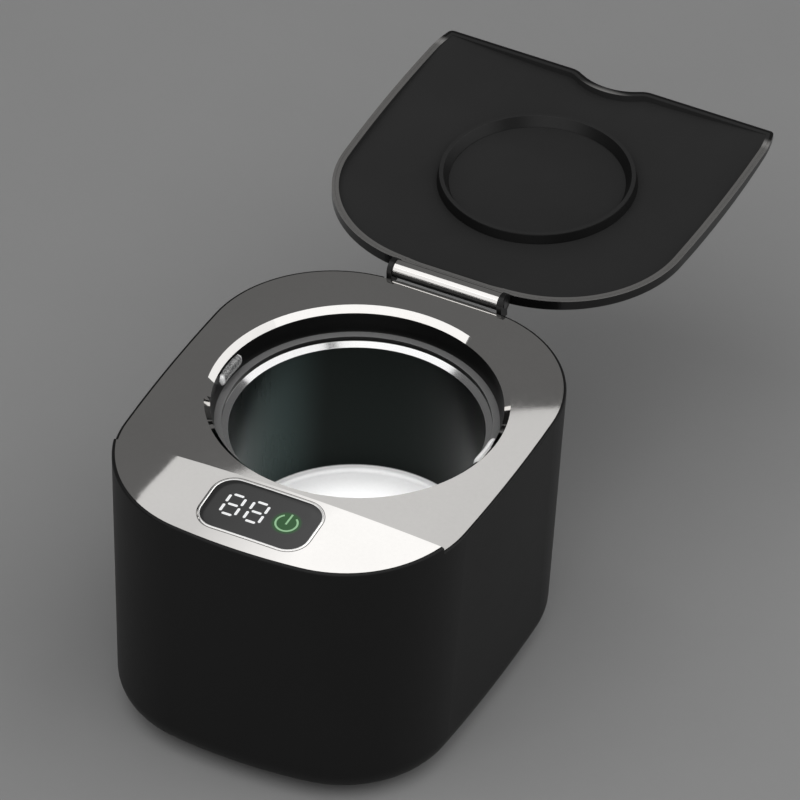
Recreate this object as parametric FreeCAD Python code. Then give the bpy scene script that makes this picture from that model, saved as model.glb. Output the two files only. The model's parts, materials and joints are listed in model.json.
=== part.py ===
import FreeCAD, Part
import math
import os

V = FreeCAD.Vector

# Ultraviolet ultrasonic cleaner, in millimetres. X runs to the right seen from the front, Y to the back, Z up.
# The origin lies on the tank's axis, in the plane that the feet stand on.

# Feet
foot_height = 1.6
foot_radius = 5.0
foot_recess = 0.8
base_z = foot_height

# Round mouth, and the margins of the top trim round it
mouth_radius = 40.0
side_margin = 9.5
rear_margin = 10.1
front_margin = 30.1

# Collar and tank, measured from the mouth
trim_plate = 1.6
lip_depth = trim_plate
lip_flare = 1.65
bore_radius = mouth_radius - lip_flare
bore_draft = 1.05
bore_foot_radius = bore_radius - bore_draft
collar_wall = 2.5
collar_bottom = 6.55
collar_flange_top = 3.1
collar_flange = 1.6
collar_flange_width = 4.65
collar_flange_radius = bore_radius + collar_flange_width
gasket_thickness = 0.5
gasket_inset = 0.14
tank_flange_width = 4.9
flange_radius = bore_foot_radius + tank_flange_width
tank_sheet = 0.6
tank_ledge_width = 1.95
tank_ledge_radius = bore_foot_radius - tank_ledge_width
tank_ledge_drop = 1.45
tank_bead = 1.75
tank_bead_drop = 0.8
tank_radius = tank_ledge_radius - tank_bead
tank_depth = 43.35
tank_taper = 0.3
tank_floor_round = 2.0
clamp_thickness = 2.4
clamp_gap = 0.1

# Overall height: the room under the tank takes the transducer, the drive board and the inlet
under_tank_room = 24.2
casing_depth = collar_bottom + gasket_thickness + tank_depth + under_tank_room
deck_z = base_z + casing_depth

# Plan of the top trim: bowed sides and ends, joined by corner arcs
deck_half_width = mouth_radius + side_margin
deck_half_depth = mouth_radius + (rear_margin + front_margin) / 2
deck_centre_y = (rear_margin - front_margin) / 2
deck_corner = 35.1
side_bow = 545.0
end_bow = 139.0

# Casing wall and the rim that frames the trim
rim_width = 0.8
rim_round = 0.6
wall = 2.2
trim_gap = 0.05
trim_seat_depth = 2.4

# Plan of the casing where it meets the base plane
side_draft = 3.2
depth_draft = 3.3
base_shift = 2.1
corner_draft = 4.9
base_half_width = deck_half_width + rim_width - side_draft
base_half_depth = deck_half_depth + rim_width - depth_draft
base_centre_y = deck_centre_y - base_shift
base_corner = deck_corner + rim_width - corner_draft
base_edge_round = 7.5
round_steps = 6

# Crown: one shallow dome runs over the control panel and the closed lid
crown_radius = 620.0
crown_rise = 5.55
crown_y = 2.5
crown_edge_round = 0.7

# Step between the control panel and the rear deck
step_margin = 5.3
step_y = -mouth_radius - step_margin
trim_skirt = 1.4

# Screw posts that join the trim, the collar and the clamp ring
post_radius = 3.0
post_hole = 0.9
ear_radius = 3.4
ear_width = 8.05
ear_reach = bore_radius + ear_width
ear_angles = (60, 120, 240, 300)
clamp_ear_angles = (22, 158, 202, 338)
screw_shank = 0.85
screw_head = 1.9
screw_head_height = 1.3
screw_hole = 1.1
screw_bite = 3.6
clamp_screw_depth = 3.1
cover_screw_bite = 5.1
low_head_height = 0.3

# Trim posts and the casing lugs below them
lug_inset = 5.4
lug_rear_angle = 32.0
lug_front_angle = 43.0
lug_level = 9.6
lug_thickness = 2.4
lug_radius = 4.2

# Display window and what lies under it
window_width = 30.6
window_depth = 18.0
window_corner = 5.6
window_margin = 2.1
window_y = step_y - window_margin - window_depth / 2
window_plate = 1.8
window_gap = 0.2
window_ledge = 1.4
window_ledge_thickness = 1.2
window_frame = 2.8
digit_x = -0.14 * window_width
digit_width = 15.4
digit_depth = 12.4
under_window_gap = 0.15
key_x = 0.26 * window_width
key_radius = 3.6
board_drop = 7.4
board_thickness = 1.6
board_corner = 1.5
display_board_margin = 5.7
display_board_width = window_width + 2 * display_board_margin
display_board_depth = window_depth - window_margin
display_post_inset = 3.4
display_post_radius = 2.0

# Ultraviolet lamps in the collar wall, left and right
lens_length = 10.4
lens_height = 3.2
lens_proud = 1.0
lens_round = 0.9
lens_drop = 3.75
lens_gap = 0.1
lens_back = 1.2
lens_flange = 0.9
lens_flange_reach = 1.0
lens_flange_rise = 0.4
lamp_length = 3.5
lamp_height = 2.8
lamp_depth = 1.4
lamp_spacing = 5.6
lamp_board_length = 15.0
lamp_board_height = 3.9
lamp_board_thickness = 1.2

# Ultrasonic transducer under the tank floor
coupling_radius = 16.5
coupling_waist = 14.0
coupling_height = 5.0
piezo_radius = 13.4
piezo_bore = 3.0
piezo_height = 3.2
bond_gap = 0.05

# Base cover, its ledge, and the drive board that stands on it
cover_inset = 16.0
cover_gap = 0.2
cover_thickness = 2.0
ledge_width = 3.0
ledge_thickness = 1.6
cover_post_height = 10.0
cover_post_hole_depth = 8.0
cover_post_radius = 3.1
cover_post_inset = 3.7
cover_post_x = base_half_width - cover_inset - cover_post_inset
cover_post_y = 14.0
cover_sink_radius = 2.4
cover_sink_depth = 0.9
foot_inset = 10.4
foot_reach = base_corner - foot_inset
foot_angle = 30.0
standoff_height = 4.0
standoff_radius = 2.6
drive_board_width = 50.0
drive_board_depth = 18.0
drive_board_gap = 1.0
drive_board_y = base_centre_y - cover_post_y - cover_post_radius - drive_board_gap - drive_board_depth / 2
drive_standoff_x = 0.4 * drive_board_width
drive_standoff_y = 0.28 * drive_board_depth
cover_rib = 1.2
cover_rib_height = 2.2

# Parts on the drive board
transformer_x = -0.18 * drive_board_width
transformer_width = 15.0
transformer_depth = 13.0
transformer_height = 12.0
coil_x = 0.11 * drive_board_width
coil_radius = 6.0
coil_bore = 2.6
coil_height = 6.0
coil_edge = 1.2
capacitor_x = 0.33 * drive_board_width
capacitor_radius = 4.0
capacitor_height = 13.0
capacitor_edge = 0.6
sink_x = -0.46 * drive_board_width
sink_depth = 6.0
sink_reach = 3.0
sink_height = 13.0
sink_fin = 1.0
sink_fins = 4

# Power inlet in the rear wall
jack_height = 10.0
jack_rise = 9.4
jack_z = base_z + jack_rise + jack_height / 2
jack_width = 11.0
jack_length = 13.0
jack_nose = 4.0
jack_bore = 2.9
jack_bore_depth = 9.0
jack_pin = 1.0
jack_gap = 0.1
jack_flange = 1.5
jack_flange_reach = 1.4
jack_wall_gap = 0.6

# Hinge
hinge_margin = 2.0
hinge_y = mouth_radius + rear_margin + rim_width + hinge_margin
hinge_rise = 1.05
barrel_radius = 2.4
barrel_half = 15.25
barrel_end_gap = 0.2
pin_radius = 1.0
pin_fit = 0.03
pin_head_radius = 1.3
pin_head = 0.15
yoke_sheet = 0.9
yoke_ear = 1.4
yoke_ear_radius = 2.7
yoke_ear_back = 1.0
yoke_gap = 1.05
yoke_reach = 9.3
yoke_tail = 1.3
yoke_front = hinge_y - yoke_reach
yoke_back = hinge_y - yoke_tail
yoke_screw_x = 9.0
yoke_screw_inset = 2.4
yoke_screw_y = yoke_front + yoke_screw_inset
pocket_gap = 0.4
pocket_reach = 3.3
pocket_front = hinge_y - pocket_reach
seat_block = 5.0
seat_front_gap = 0.3
seat_height = 12.0
leaf_sheet = 0.9
leaf_half = 12.0
leaf_reach = 5.0
leaf_rise = -0.35

# Lid, drawn closed and then swung open
lid_gap = 0.3
lid_front_gap = 0.35
lid_sheet = 0.9
lid_wall = 0.8
liner_gap = 0.05
liner_sheet = 0.75
liner_rim = 1.0
lid_ear_wall = 0.7
barrel_groove_gap = 0.05
ring_outer_base = mouth_radius * 2 / 3
ring_outer_draft = 0.55
ring_crest = 1.05
ring_inner_draft = 1.5
ring_outer_top = ring_outer_base - ring_outer_draft
ring_inner_top = ring_outer_top - ring_crest
ring_inner_base = ring_inner_top - ring_inner_draft
ring_height = 2.7
notch_half = 10.0
notch_depth = 3.3
notch_soft = 6.0
lid_corner = 1.4
open_angle = 180.0

# Reach of the blocks that cut away all beyond a plane, and how far cuts run past a face
far = 5 * mouth_radius
headroom = far / 20
past = far / 200


def corner_centre(half_width, half_depth, corner):
    """Centre of the corner arc that touches the side arc and the end arc."""
    reach_side = side_bow - corner
    reach_end = end_bow - corner
    from_side = V(half_width - side_bow, 0, 0)
    from_end = V(0, half_depth - end_bow, 0)
    span = from_end - from_side
    length = span.Length
    along = (reach_side ** 2 - reach_end ** 2 + length ** 2) / (2 * length)
    across = math.sqrt(reach_side ** 2 - along ** 2)
    unit = span * (1 / length)
    normal = V(-unit.y, unit.x, 0)
    choices = [from_side + unit * along + normal * across, from_side + unit * along - normal * across]
    return max(choices, key=lambda point: point.x + point.y)


def outline(half_width, half_depth, centre_y, corner, grow, z):
    """Closed wire of eight arcs: bowed sides and ends joined by corner arcs, grown outward by grow."""
    centre = corner_centre(half_width, half_depth, corner)
    side_centre = V(half_width - side_bow, 0, 0)
    end_centre = V(0, half_depth - end_bow, 0)
    to_side = (centre - side_centre).normalize()
    to_end = (centre - end_centre).normalize()
    side_end = centre + to_side * (corner + grow)
    end_start = centre + to_end * (corner + grow)
    corner_mid = centre + (to_side + to_end).normalize() * (corner + grow)
    width = half_width + grow
    depth = half_depth + grow

    def at(point, flip_x=1, flip_y=1):
        return V(point.x * flip_x, point.y * flip_y + centre_y, z)

    edges = []
    for flip_x, flip_y in ((1, 1), (-1, 1), (-1, -1), (1, -1)):
        arc = (at(side_end, flip_x, flip_y), at(corner_mid, flip_x, flip_y), at(end_start, flip_x, flip_y))
        if flip_x * flip_y < 0:
            arc = arc[::-1]
        edges.append(Part.Arc(*arc).toShape())
        if flip_x == flip_y:
            middle = at(V(0, depth, 0), 1, flip_y)
            last = at(end_start, -flip_x, flip_y)
        else:
            middle = at(V(width, 0, 0), flip_x, 1)
            last = at(side_end, flip_x, -flip_y)
        edges.append(Part.Arc(arc[-1], middle, last).toShape())
    return Part.Wire(edges)


def deck_outline(grow, z):
    return outline(deck_half_width, deck_half_depth, deck_centre_y, deck_corner, grow, z)


def base_outline(grow, z):
    return outline(base_half_width, base_half_depth, base_centre_y, base_corner, grow, z)


def prism(wire, height):
    return Part.Face(wire).extrude(V(0, 0, height))


def deck_prism(grow, low, high):
    return prism(deck_outline(grow, low), high - low)


def base_prism(grow, low, high):
    return prism(base_outline(grow, low), high - low)


def box(x0, x1, y0, y1, z0, z1):
    return Part.makeBox(x1 - x0, y1 - y0, z1 - z0, V(x0, y0, z0))


def rod(radius, x, y, low, high):
    return Part.makeCylinder(radius, high - low, V(x, y, low))


def tube(outer, inner, low, high, x=0.0, y=0.0):
    return rod(outer, x, y, low, high).cut(rod(inner, x, y, low, high))


def revolve(points):
    """Solid of revolution about Z from a closed list of (radius, z) points."""
    wire = Part.makePolygon([V(r, 0, z) for r, z in points] + [V(points[0][0], 0, points[0][1])])
    return Part.Face(wire).revolve(V(0, 0, 0), V(0, 0, 1), 360)


def round_plate(width, depth, corner, x, y, low, high):
    """Rounded rectangle, extruded from low to high."""
    block = box(x - width / 2, x + width / 2, y - depth / 2, y + depth / 2, low, high)
    upright = [e for e in block.Edges if abs(e.tangentAt(e.FirstParameter).z) > 0.9]
    return block.makeFillet(corner, upright)


def dome(depth):
    """Ball whose top is the crown, depth below the outer surface. Its poles lie along X, off the part."""
    centre = V(0, crown_y, deck_z + crown_rise - crown_radius)
    ball = Part.makeSphere(crown_radius - depth, V(0, 0, 0), V(1, 0, 0))
    ball.translate(centre)
    return ball


def crown_z(x, y):
    """Height of the crown above a point of the plan."""
    flat = x * x + (y - crown_y) ** 2
    return deck_z + crown_rise - crown_radius + math.sqrt(crown_radius ** 2 - flat)


def section(grow, z):
    """Plan of the casing at height z: it is drafted evenly from the base plan to the rim plan."""
    share = (z - base_z) / casing_depth

    def mix(low, high):
        return low + (high - low) * share

    return outline(mix(base_half_width, deck_half_width + rim_width), mix(base_half_depth, deck_half_depth + rim_width),
                   mix(base_centre_y, deck_centre_y), mix(base_corner, deck_corner + rim_width), grow, z)


def drafted(grow, low, high):
    return Part.makeLoft([section(grow, low), section(grow, high)], True, True)


def tub(grow, low, high, edge_round):
    """Drafted body whose lower edge is rounded."""
    sections = []
    for step in range(round_steps + 1):
        angle = math.radians(90 * step / round_steps)
        level = low + edge_round * (1 - math.cos(angle))
        sections.append(section(grow - edge_round * (1 - math.sin(angle)), level))
    lower = Part.makeLoft(sections, True, False)
    return lower.fuse(drafted(grow, low + edge_round, high))


def edges_at(shape, test):
    return [e for e in shape.Edges if test(e)]


def pillow():
    """The closed outer form: drafted body, rounded at the base and under the crown."""
    body = tub(0, base_z, deck_z + crown_rise + past, base_edge_round).common(dome(0))
    high = edges_at(body, lambda e: e.BoundBox.ZMin > deck_z - 0.5)
    rim = [e for e in high if any(isinstance(f.Surface, Part.Sphere) for f in body.ancestorsOfType(e, Part.Face))]
    return body.makeFillet(crown_edge_round, rim)


def screw(x, y, seat, up):
    """Pan head screw whose head bears on seat. up is 1 where the shank points up, -1 where it points down."""
    direction = V(0, 0, up)
    shank = Part.makeCylinder(screw_shank, screw_bite, V(x, y, seat), direction)
    head = Part.makeCylinder(screw_head, screw_head_height, V(x, y, seat), direction * -1)
    top = seat - up * screw_head_height
    rim = edges_at(head, lambda e: abs(e.BoundBox.ZMin - top) < 0.01 and e.BoundBox.ZLength < 0.01)
    head = head.makeChamfer(screw_head_height / 3, rim)
    return head.fuse(shank).removeSplitter()


def polar(radius, angle):
    return radius * math.cos(math.radians(angle)), radius * math.sin(math.radians(angle))


def mirrored(places):
    return [(side * x, y) for x, y in places for side in (-1, 1)]


def corner_places(reach, angle):
    """Four places in the base corners, at a reach and angle from each corner arc's centre."""
    centre = corner_centre(base_half_width, base_half_depth, base_corner)
    dx, dy = polar(reach, angle)
    return [(sx * (centre.x + dx), base_centre_y + sy * (centre.y + dy)) for sx in (-1, 1) for sy in (-1, 1)]


def rear_wall_y(z):
    """Outer face of the rear wall on the centre line."""
    low = base_centre_y + base_half_depth
    high = deck_centre_y + deck_half_depth + rim_width
    return low + (high - low) * (z - base_z) / casing_depth


def seat_block_shape():
    """Block inside the rear wall that carries the hinge yoke."""
    half = barrel_half + seat_block
    top = deck_z - yoke_depth()
    block = box(-half, half, yoke_front - seat_front_gap, far, top - seat_height, top)
    return block.common(drafted(-wall / 2, base_z, deck_z))


def yoke_depth():
    """How far the yoke's base strip lies below the deck, its underside."""
    return barrel_radius - hinge_rise + yoke_gap + yoke_sheet


def hinge_pocket(half, front, low):
    return box(-half, half, front, far, low, deck_z + far)


def outer_casing(form):
    above_deck = box(-far, far, step_y, far, deck_z, deck_z + far)
    shell = form.cut(above_deck)
    rim = edges_at(shell, lambda e: abs(e.BoundBox.ZMin - deck_z) < 0.01 and e.BoundBox.ZLength < 0.01
                   and e.BoundBox.YMax > step_y + 0.01)
    shell = shell.makeFillet(rim_round, rim)
    ledge_low = base_z + cover_thickness
    ledge_top = ledge_low + ledge_thickness
    shell = shell.cut(tub(-wall, ledge_top, deck_z + headroom, base_edge_round - wall))
    shell = shell.cut(deck_prism(trim_gap, deck_z - trim_seat_depth, deck_z + far))
    shell = shell.cut(base_prism(-cover_inset, base_z - past, ledge_low))
    shell = shell.cut(base_prism(-cover_inset - ledge_width, base_z, ledge_top + past))
    keep = drafted(-wall / 2, base_z, deck_z)
    for x, y in lug_places():
        shell = shell.fuse(casing_lug(x, y).common(keep))
    for x, y in cover_posts():
        shell = shell.fuse(rod(cover_post_radius, x, y, ledge_low, ledge_low + cover_post_height))
    shell = shell.fuse(seat_block_shape())
    for x, y in lug_places():
        level = deck_z - lug_level
        shell = shell.cut(rod(screw_hole, x, y, level - lug_thickness - past, level + past))
    for x, y in cover_posts():
        shell = shell.cut(rod(post_hole, x, y, ledge_low - past, ledge_low + cover_post_hole_depth))
    for x, y in corner_places(foot_reach, foot_angle):
        shell = shell.cut(rod(foot_radius + cover_gap / 2, x, y, base_z - past, base_z + foot_recess))
    shell = shell.cut(hinge_pocket(yoke_half() + pocket_gap, yoke_front - seat_front_gap, deck_z - yoke_depth()))
    for x in (-yoke_screw_x, yoke_screw_x):
        top = deck_z - yoke_depth()
        shell = shell.cut(rod(post_hole, x, yoke_screw_y, top - screw_bite - past, top + past))
    hole = Part.makeCylinder(jack_nose + jack_gap, far, V(0, 0, jack_z), V(0, 1, 0))
    return shell.cut(hole).removeSplitter()


def cover_posts():
    return [(sx * cover_post_x, base_centre_y + sy * cover_post_y) for sx in (-1, 1) for sy in (-1, 1)]


def lug_places():
    """Four places near the trim's corners, each on a line from its corner arc's centre."""
    centre = corner_centre(deck_half_width, deck_half_depth, deck_corner)
    places = []
    for flip, angle in ((1, lug_rear_angle), (-1, lug_front_angle)):
        dx, dy = polar(deck_corner - lug_inset, angle)
        places.append((centre.x + dx, deck_centre_y + flip * (centre.y + dy)))
    return mirrored(places)


def casing_lug(x, y):
    """Shelf that reaches in from the wall to a trim post."""
    low = deck_z - lug_level - lug_thickness
    out = V(x, y - deck_centre_y, 0).normalize()
    arm = Part.makeBox(headroom * 2, 2 * lug_radius, lug_thickness, V(0, -lug_radius, low))
    arm.rotate(V(0, 0, 0), V(0, 0, 1), math.degrees(math.atan2(out.y, out.x)))
    arm.translate(V(x, y, 0))
    return rod(lug_radius, x, y, low, low + lug_thickness).fuse(arm)


def base_cover():
    low = base_z
    top = base_z + cover_thickness
    plate = base_prism(-cover_inset - cover_gap, low, top)
    inner = -cover_inset - ledge_width - 2 * cover_gap
    rib = base_prism(inner, top, top + cover_rib_height)
    rib = rib.cut(base_prism(inner - cover_rib, top, top + cover_rib_height))
    for x, y in cover_posts():
        rib = rib.cut(rod(cover_post_radius + cover_gap, x, y, top, top + cover_rib_height))
    plate = plate.fuse(rib)
    for x, y in drive_standoffs():
        plate = plate.fuse(rod(standoff_radius, x, y, top, top + standoff_height))
    for x, y in drive_standoffs():
        plate = plate.cut(rod(post_hole, x, y, top, top + standoff_height))
    for x, y in cover_posts():
        plate = plate.cut(rod(screw_hole, x, y, low - past, top + past))
        plate = plate.cut(rod(cover_sink_radius, x, y, low - past, low + cover_sink_depth))
    return plate.removeSplitter()


def rubber_feet():
    feet = []
    for x, y in corner_places(foot_reach, foot_angle):
        foot = rod(foot_radius, x, y, 0, base_z + foot_recess)
        low = edges_at(foot, lambda e: e.BoundBox.ZMax < 0.01)
        feet.append(foot.makeChamfer(foot_height / 3, low))
    return Part.makeCompound(feet)


def base_screws():
    seat = base_z + cover_sink_depth
    return Part.makeCompound([flat_screw(x, y, seat) for x, y in cover_posts()])


def flat_screw(x, y, seat):
    """Screw with a thin head, sunk in the base cover."""
    head = rod(cover_sink_radius - cover_gap, x, y, seat - cover_sink_depth * 0.9, seat)
    return head.fuse(rod(screw_shank, x, y, seat, seat + cover_screw_bite)).removeSplitter()


def top_trim():
    low = deck_z - trim_seat_depth
    trim = deck_prism(0, low, deck_z + headroom).common(dome(0))
    trim = trim.cut(box(-far, far, step_y, far, deck_z, deck_z + far))
    under_deck = deck_prism(-trim_skirt, low, deck_z - trim_plate)
    under_panel = deck_prism(-trim_skirt, low, deck_z + headroom).common(dome(trim_plate))
    under_panel = under_panel.common(box(-far, far, -far, step_y - trim_plate, low, deck_z + far))
    trim = trim.cut(under_deck).cut(under_panel)
    for x, y in lug_places():
        post = rod(post_radius, x, y, deck_z - lug_level, deck_z + crown_rise)
        trim = trim.fuse(post.common(trim_body()))
    for angle in ear_angles:
        x, y = polar(ear_reach, angle)
        trim = trim.fuse(rod(post_radius, x, y, deck_z - collar_flange_top, deck_z - trim_plate / 2))
    trim = trim.cut(mouth_cutter())
    trim = trim.fuse(window_frame_shape()).fuse(display_posts())
    trim = trim.cut(window_hole())
    for x, y in lug_places():
        trim = trim.cut(rod(post_hole, x, y, deck_z - lug_level - past, deck_z - lug_level + screw_bite + past))
    for angle in ear_angles:
        x, y = polar(ear_reach, angle)
        trim = trim.cut(rod(post_hole, x, y, deck_z - collar_flange_top - past, deck_z - trim_plate / 2))
    for x, y in display_post_places():
        trim = trim.cut(tilted(rod(post_hole, x, y, -board_drop - past, -board_drop + screw_bite)))
    half = yoke_half() + pocket_gap
    return trim.cut(hinge_pocket(half, pocket_front, low - past)).removeSplitter()


def trim_body():
    """Everything below the trim's outer surface, to end posts inside its plate."""
    inside = deck_prism(-trim_skirt / 2, base_z, deck_z + headroom).common(dome(trim_plate / 2))
    return inside.cut(box(-far, far, step_y - trim_plate / 2, far, deck_z - trim_plate / 2, deck_z + far))


def mouth_cutter():
    """Chamfered mouth: full size at the deck, the collar's bore at the lip's foot."""
    top = deck_z + 0.01
    foot = deck_z - lip_depth
    cone = Part.makeCone(bore_radius, mouth_radius, top - foot, V(0, 0, foot))
    return cone.fuse(rod(bore_radius, 0, 0, foot - past, foot)).removeSplitter()


def tilt_angle():
    return math.degrees(math.asin((crown_y - window_y) / crown_radius))


def tilted(shape):
    """Moves a shape drawn at the window's centre, Z out of the panel, to its place under the crown."""
    shape.rotate(V(0, 0, 0), V(1, 0, 0), tilt_angle())
    shape.translate(V(0, window_y, crown_z(0, window_y)))
    return shape


def window_prism(grow):
    width = window_width + 2 * grow
    depth = window_depth + 2 * grow
    return tilted(round_plate(width, depth, window_corner + grow, 0, 0, -board_drop, crown_rise))


def window_frame_shape():
    """Frame under the panel that the window rests on."""
    ring = window_prism(window_frame).common(dome(trim_plate / 2))
    ring = ring.cut(dome(window_plate + window_ledge_thickness)).common(trim_body())
    return ring.cut(window_prism(-window_ledge))


def window_hole():
    hole = window_prism(window_gap)
    return hole.cut(dome(window_plate))


def display_post_places():
    x = display_board_width / 2 - display_post_inset
    y = display_board_depth / 2 - display_post_inset + display_post_radius / 2
    return mirrored([(x, y), (x, -y)])


def display_posts():
    posts = [rod(display_post_radius, x, y, -board_drop, 0) for x, y in display_post_places()]
    return tilted(Part.makeCompound(posts)).common(trim_body())


def trim_screws():
    seat = deck_z - lug_level - lug_thickness
    return Part.makeCompound([screw(x, y, seat, 1) for x, y in lug_places()])


def display_window():
    return window_prism(0).common(dome(0)).cut(dome(window_plate))


def digit_module():
    top = -window_plate - under_window_gap
    block = round_plate(digit_width, digit_depth, 0.6, digit_x, 0, -board_drop, top)
    return tilted(block)


def touch_key():
    top = -window_plate - under_window_gap
    return tilted(tube(key_radius, key_radius / 2, -board_drop, top, key_x, 0))


def display_board():
    low = -board_drop - board_thickness
    board = round_plate(display_board_width, display_board_depth, board_corner, 0, 0, low, -board_drop)
    for x, y in display_post_places():
        board = board.cut(rod(screw_hole, x, y, low - past, -board_drop + past))
    return tilted(board)


def display_screws():
    seat = -board_drop - board_thickness
    return tilted(Part.makeCompound([screw(x, y, seat, 1) for x, y in display_post_places()]))


def collar():
    top = deck_z - lip_depth
    low = deck_z - collar_bottom
    outer = bore_radius + collar_wall
    ring = rod(outer, 0, 0, low, top)
    flange_top = deck_z - collar_flange_top
    ring = ring.fuse(rod(collar_flange_radius, 0, 0, flange_top - collar_flange, flange_top))
    ring = ring.fuse(rod(flange_radius, 0, 0, low, low + collar_flange))
    for angle in ear_angles:
        x, y = polar(ear_reach, angle)
        ring = ring.fuse(ear(angle, ear_reach, flange_top - collar_flange, flange_top))
        ring = ring.cut(rod(screw_hole, x, y, low - past, flange_top + past))
    for angle in clamp_ear_angles:
        x, y = polar(ear_reach, angle)
        ring = ring.fuse(ear(angle, ear_reach, low, flange_top))
        ring = ring.cut(rod(post_hole, x, y, low - past, low + clamp_screw_depth))
    ring = ring.cut(bore_cutter())
    for side in (-1, 1):
        ring = ring.cut(lens_window(side, lens_gap)).cut(lens_pocket(side))
    return ring.removeSplitter()


def bore_cutter():
    """Drafted bore of the collar, carried on past both its ends."""
    top = deck_z - lip_depth
    low = deck_z - collar_bottom
    cone = Part.makeCone(bore_foot_radius, bore_radius, top - low, V(0, 0, low))
    cone = cone.fuse(rod(bore_radius, 0, 0, top, top + past))
    return cone.fuse(rod(bore_foot_radius, 0, 0, low - past, low))


def ear(angle, reach, low, high):
    """Rounded ear that joins a screw place to a ring."""
    arm = box(bore_radius + collar_wall / 2, reach, -ear_radius, ear_radius, low, high)
    arm = arm.fuse(rod(ear_radius, reach, 0, low, high))
    arm.rotate(V(0, 0, 0), V(0, 0, 1), angle)
    return arm


def lens_window(side, grow):
    """Block through the collar wall, across the lamp's opening."""
    length = lens_length / 2 + grow
    height = lens_height / 2 + grow
    mid = deck_z - lens_drop
    inner = bore_radius - 2 * lens_proud
    outer = bore_radius + collar_wall + lens_back
    return box(min(side * inner, side * outer), max(side * inner, side * outer),
               -length, length, mid - height, mid + height)


def lens_seat_x():
    """Flat on the outside of the collar, where the lens flange bears."""
    return bore_radius + collar_wall - 0.5


def lens_pocket(side):
    """Flat cut on the collar's outside, so that the lens flange seats flush."""
    reach = lens_length / 2 + lens_flange_reach + lens_gap
    half = lens_height / 2 + lens_flange_rise + lens_gap
    mid = deck_z - lens_drop
    near = lens_seat_x()
    outer = far / 4
    return box(min(side * near, side * outer), max(side * near, side * outer), -reach, reach, mid - half, mid + half)


def lamp_lens(side):
    """Clear lamp lens: a rounded block that stands proud of the bore, on a flange behind the wall."""
    mid = deck_z - lens_drop
    inner = bore_radius - lens_proud
    back = lens_seat_x() + lens_flange
    half_length = lens_length / 2
    half_height = lens_height / 2
    block = box(inner, back, -half_length, half_length, mid - half_height, mid + half_height)
    front = edges_at(block, lambda e: e.BoundBox.XMax < inner + 0.01)
    block = block.makeFillet(lens_round, front)
    reach = half_length + lens_flange_reach
    rise = half_height + lens_flange_rise
    flange = box(lens_seat_x(), back, -reach, reach, mid - rise, mid + rise)
    lens = block.fuse(flange).removeSplitter()
    if side < 0:
        lens.rotate(V(0, 0, 0), V(0, 0, 1), 180)
    return lens


def lamp_board(side):
    """Small upright board behind the lens, with two lamps on its face."""
    mid = deck_z - lens_drop
    near = lens_seat_x() + lens_flange
    face = near + lamp_depth
    half_length = lamp_board_length / 2
    half_height = lamp_board_height / 2
    board = box(face, face + lamp_board_thickness, -half_length, half_length, mid - half_height, mid + half_height)
    for y in (-lamp_spacing / 2, lamp_spacing / 2):
        lamp = box(near, face, y - lamp_length / 2, y + lamp_length / 2,
                   mid - lamp_height / 2, mid + lamp_height / 2)
        board = board.fuse(lamp)
    if side < 0:
        board.rotate(V(0, 0, 0), V(0, 0, 1), 180)
    return board


def collar_screws():
    seat = deck_z - collar_flange_top - collar_flange
    return Part.makeCompound([screw(*polar(ear_reach, a), seat, 1) for a in ear_angles])


def tank_gasket():
    top = deck_z - collar_bottom
    return tube(flange_radius - gasket_inset, bore_foot_radius + gasket_inset, top - gasket_thickness, top)


def ledge_z():
    return deck_z - collar_bottom - gasket_thickness


def tank_profile(inset, flange, top):
    """Wetted side of the tank as (radius, z) points: flange, drop, bead and drafted wall."""
    ledge = top
    bead_top = ledge_z() - tank_ledge_drop
    floor = ledge_z() - tank_depth
    return [(flange, ledge), (tank_ledge_radius + inset, ledge), (tank_ledge_radius + inset, bead_top),
            (tank_radius + inset, bead_top - tank_bead_drop), (tank_radius - tank_taper + inset, floor)]


def tank_cup(inset, flange, top, floor_drop):
    """Solid of revolution of the tank's form, thickened outward by inset."""
    points = tank_profile(inset, flange, top)
    floor = ledge_z() - tank_depth - floor_drop
    points = points[:-1] + [(points[-1][0], floor), (0, floor), (0, top)]
    cup = revolve(points)
    low = edges_at(cup, lambda e: e.BoundBox.ZMax < floor + 0.01 and e.Length > 1)
    return cup.makeFillet(tank_floor_round + inset, low)


def tank():
    flange_low = ledge_z() - tank_sheet
    outside = tank_cup(tank_sheet, flange_radius, ledge_z(), tank_sheet)
    outside = outside.cut(tube(far / 3, tank_ledge_radius + tank_sheet, flange_low - far / 4, flange_low))
    inside = tank_cup(0, tank_ledge_radius, ledge_z() + past, 0)
    return outside.cut(inside).removeSplitter()


def clamp_ring():
    """Ring under the tank flange, drawn up to the collar by screws."""
    top = ledge_z() - tank_sheet
    inner = tank_ledge_radius + tank_sheet + clamp_gap
    ring = rod(collar_flange_radius, 0, 0, top - clamp_thickness, top)
    for angle in clamp_ear_angles:
        ring = ring.fuse(ear(angle, ear_reach, top - clamp_thickness, top))
    ring = ring.cut(rod(inner, 0, 0, top - clamp_thickness - past, top + past))
    for angle in clamp_ear_angles:
        x, y = polar(ear_reach, angle)
        ring = ring.cut(rod(screw_hole, x, y, top - clamp_thickness - past, top + past))
        spacer = tube(ear_radius, screw_hole, top, deck_z - collar_bottom, x, y)
        ring = ring.fuse(spacer.cut(rod(flange_radius + clamp_gap, 0, 0, top - past, deck_z)))
    return ring.removeSplitter()


def clamp_screws():
    seat = ledge_z() - tank_sheet - clamp_thickness
    return Part.makeCompound([screw(*polar(ear_reach, a), seat, 1) for a in clamp_ear_angles])


def tank_underside():
    return ledge_z() - tank_depth - tank_sheet


def coupling_block():
    """Metal block bonded under the tank floor, flared towards the tank."""
    top = tank_underside() - bond_gap
    low = top - coupling_height
    return Part.makeCone(coupling_waist, coupling_radius, coupling_height, V(0, 0, low))


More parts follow.
